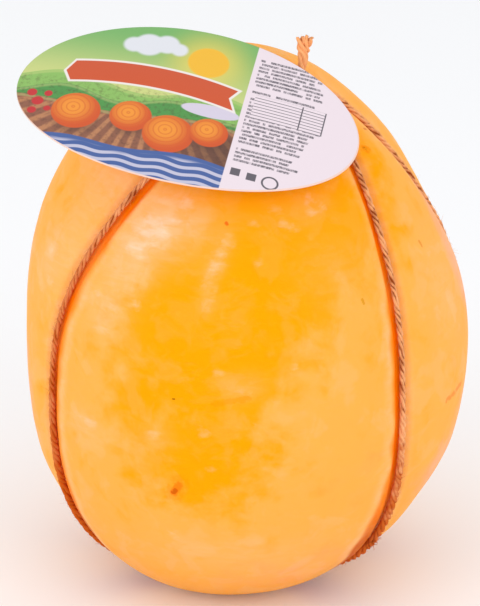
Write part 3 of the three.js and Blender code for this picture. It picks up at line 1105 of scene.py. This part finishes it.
# Word-like strokes in rows, with ragged ends
def paintRows(start, x, y):
    def chanceIn(across, down):
        cell = start.node("ShaderNodeCombineXYZ", None, {"X": across.floor(), "Y": down.floor()})
        return start.node("ShaderNodeTexWhiteNoise", {"noise_dimensions": "2D"}, {"Vector": cell})
    soft = rows["soft"]
    line = (y - rows["foot"]) / rows["pitch"]
    index = line.floor()
    chance = start.node("ShaderNodeTexWhiteNoise", {"noise_dimensions": "1D"}, {"W": index})
    letter = chanceIn(x / rows["word"], line).smooth(*rows["gap"])
    shade = chanceIn(x / rows["stem"], line * 2).smooth(0.0, 1.0, rows["faint"], 1.0)
    stroke = (line - index).band(*rows["stroke"]) * letter * shade
    end = rows["right"] - chance * rows["ragged"] - (y - rows["middle"]).absolute() * rows["narrowing"]
    inside = x.smooth(rows["left"] - soft, rows["left"] + soft) * (end - x).smooth(-soft, soft)
    return stroke * inside * y.band(rows["foot"], rows["top"], soft) * chance.smooth(*rows["bare"])


def paintBox(x, y):
    soft = rows["soft"]
    step = (y - rows["boxFoot"]) / (rows["pitch"] * rows["boxRow"])
    rule = (step - step.floor()).smooth(rows["rule"], rows["rule"] + rows["ruleSoft"], 1.0, 0.0)
    end = rows["right"] - rows["boxRight"]
    column = rows["boxColumn"]
    upright = x.band(column, column + rows["upright"], soft).most(x.band(end - rows["upright"], end, soft))
    within = x.band(rows["left"] + rows["boxLeft"], end, soft) * y.band(rows["boxFoot"], rows["boxTop"], soft)
    return rule.most(upright) * within, within


# Two small squares and a ring at the foot of the rows
def paintStamps(x, y, place):
    soft = rows["soft"]
    ringX, ringY, radius = rows["ring"]
    apart = place.fromPlace((ringX, ringY, 0))
    ink = apart.band(radius - rows["ringHalf"], radius + rows["ringHalf"], soft)
    half = rows["stampHalf"]
    for middleX, middleY in rows["stamps"]:
        square = x.band(middleX - half, middleX + half, soft) * y.band(middleY - half, middleY + half, soft)
        ink = ink.most(square)
    return ink


def cardMaterial():
    fixed = {"Specular IOR Level": 0.4, "Coat Roughness": 0.2, "Coat Weight": 0.25}
    material, start, inputs = newMaterial("printedCard", fixed)
    uv = start.node("ShaderNodeUVMap", {"uv_map": "print"})
    split = uv.axes()
    x = (split - 0.5) * (2 * card["halfLength"])
    y = (split.sibling("Y") - 0.5) * (2 * card["halfWidth"])
    place = start.node("ShaderNodeCombineXYZ", None, {"X": x, "Y": y})
    colour = paintLandscape(x, y, place)
    rule, box = paintBox(x, y)
    ink = (paintRows(start, x, y) * (1 - box)).most(rule).most(paintStamps(x, y, place)) * card["inkWeight"]
    panel = x.smooth(*card["panelEdge"])
    colour = panel.mix(colour, ink.mix(card["paper"], card["ink"]))
    shiftX, shiftY = card["marginShift"]
    spread = uv.fromPlace((0.5 + shiftX, 0.5 + shiftY, 0)) * 2
    within = spread.smooth(card["margin"], card["margin"] + card["marginSoft"], 1.0, 0.0)
    printed = start.layer("printed").smooth(*card["printEdge"]) * within
    colour = printed.mix(card["rim"], colour)
    grain = objectPlace(start).fog(*card["grain"])
    feed(inputs, Base_Color=colour, Roughness=card["roughness"] + grain * card["roughGrain"])
    return material


def buildCard():
    bm = bmesh.new()
    half = card["thick"] / 2
    inset = card["edge"] / card["halfLength"]
    top = [(r, half) for r in card["rings"]] + [(1 - inset, half), (1, half - card["edge"])]
    profile = top + [(r, -h) for r, h in reversed(top)]
    verts = [bm.verts.new((r, 0, h)) for r, h in profile]
    edges = [bm.edges.new(pair) for pair in zip(verts, verts[1:])]
    bmesh.ops.spin(bm, geom=verts + edges, cent=(0, 0, 0), axis=(0, 0, 1), angle=turn,
                   steps=card["steps"], use_merge=True)
    bmesh.ops.remove_doubles(bm, verts=bm.verts, dist=1e-6)
    uvLayer = bm.loops.layers.uv.new("print")
    printLayer = bm.verts.layers.float.new("printed")
    for face in bm.faces:
        for loop in face.loops:
            loop[uvLayer].uv = (loop.vert.co.x / 2 + 0.5, loop.vert.co.y / 2 + 0.5)
    for vert in bm.verts:
        vert[printLayer] = float(vert.co.z > 0)
        x = vert.co.x * card["halfLength"]
        vert.co = Vector((x, vert.co.y * card["halfWidth"], vert.co.z - x ** 2 / (2 * card["arch"])))
    tilt = Euler([math.radians(card[name]) for name in ("pitch", "roll", "yaw")])
    placed = Matrix.Translation(card["middle"]) @ tilt.to_matrix().to_4x4()
    bmesh.ops.transform(bm, matrix=placed, verts=bm.verts)
    finishPiece(bm, "oval_card", cardMaterial(), "label")


# Floor, light and camera

studio = {
    "floorSize": 4,
    "floorSides": 96,
    "floorGrain": 30,
    "floorRoughness": 0.8,
    "roughGrain": 0.1,
    "floor": (0.94, 0.95, 0.97, 1),
    "sky": (1, 1, 1, 1),
    "skyStrength": 0.95,
    "key": {"bearing": -50, "height": 20, "away": 0.75, "size": 0.45, "power": 1.1},
    "fill": {"bearing": 40, "height": 20, "away": 0.9, "size": 0.6, "power": 1.6},
}
shot = {
    "elevation": 21,
    "distance": 0.6,
    "lens": 151.15,
    "sensor": 36,
    "clip": 0.05,
    "aimRight": -0.47 * mm,
    "aimUp": 3.09 * mm,
}


def buildFloor():
    bm = bmesh.new()
    bmesh.ops.create_circle(bm, cap_ends=True, segments=studio["floorSides"], radius=studio["floorSize"])
    fixed = {"Base Color": studio["floor"], "Specular IOR Level": 0.1}
    material, start, inputs = newMaterial("paleFloor", fixed)
    grain = objectPlace(start).fog(studio["floorGrain"])
    feed(inputs, Roughness=studio["floorRoughness"] + grain * studio["roughGrain"])
    floor = linkMesh(bm, "floor", material)


def addSoftbox(name, box):
    a, e = math.radians(box["bearing"]), math.radians(box["height"])
    away = Vector((math.sin(a) * math.cos(e), -math.cos(a) * math.cos(e), math.sin(e)))
    light = bpy.data.lights.new(name, "AREA")
    light.shape = "DISK"
    light.size = box["size"]
    light.energy = box["power"]
    lamp = bpy.data.objects.new(name, light)
    lamp.location = body["middle"] * mm + away * box["away"]
    lamp.rotation_euler = away.to_track_quat("Z", "Y").to_euler()
    bpy.context.scene.collection.objects.link(lamp)


def setStudio():
    scene = bpy.context.scene
    world = bpy.data.worlds.new("studio")
    world.use_nodes = True
    sky = world.node_tree.nodes["Background"].inputs
    sky["Color"].default_value = studio["sky"]
    sky["Strength"].default_value = studio["skyStrength"]
    scene.world = world
    scene.view_settings.view_transform = "Standard"
    for name in ("key", "fill"):
        addSoftbox(name, studio[name])


def setCamera():
    e = math.radians(shot["elevation"])
    ahead = Vector((0, math.cos(e), -math.sin(e)))
    up = Vector((0, math.sin(e), math.cos(e)))
    aim = body["middle"] * mm + Vector((shot["aimRight"], 0, 0)) + up * shot["aimUp"]
    data = bpy.data.cameras.new("camera")
    data.lens = shot["lens"]
    data.sensor_width = shot["sensor"]
    data.clip_start = shot["clip"]
    camera = bpy.data.objects.new("camera", data)
    camera.location = aim - ahead * shot["distance"]
    camera.rotation_euler = ahead.to_track_quat("-Z", "Y").to_euler()
    bpy.context.scene.collection.objects.link(camera)
    bpy.context.scene.camera = camera


buildCheese()
buildTwine()
buildCard()
buildFloor()
setStudio()
setCamera()
print("scene ready")
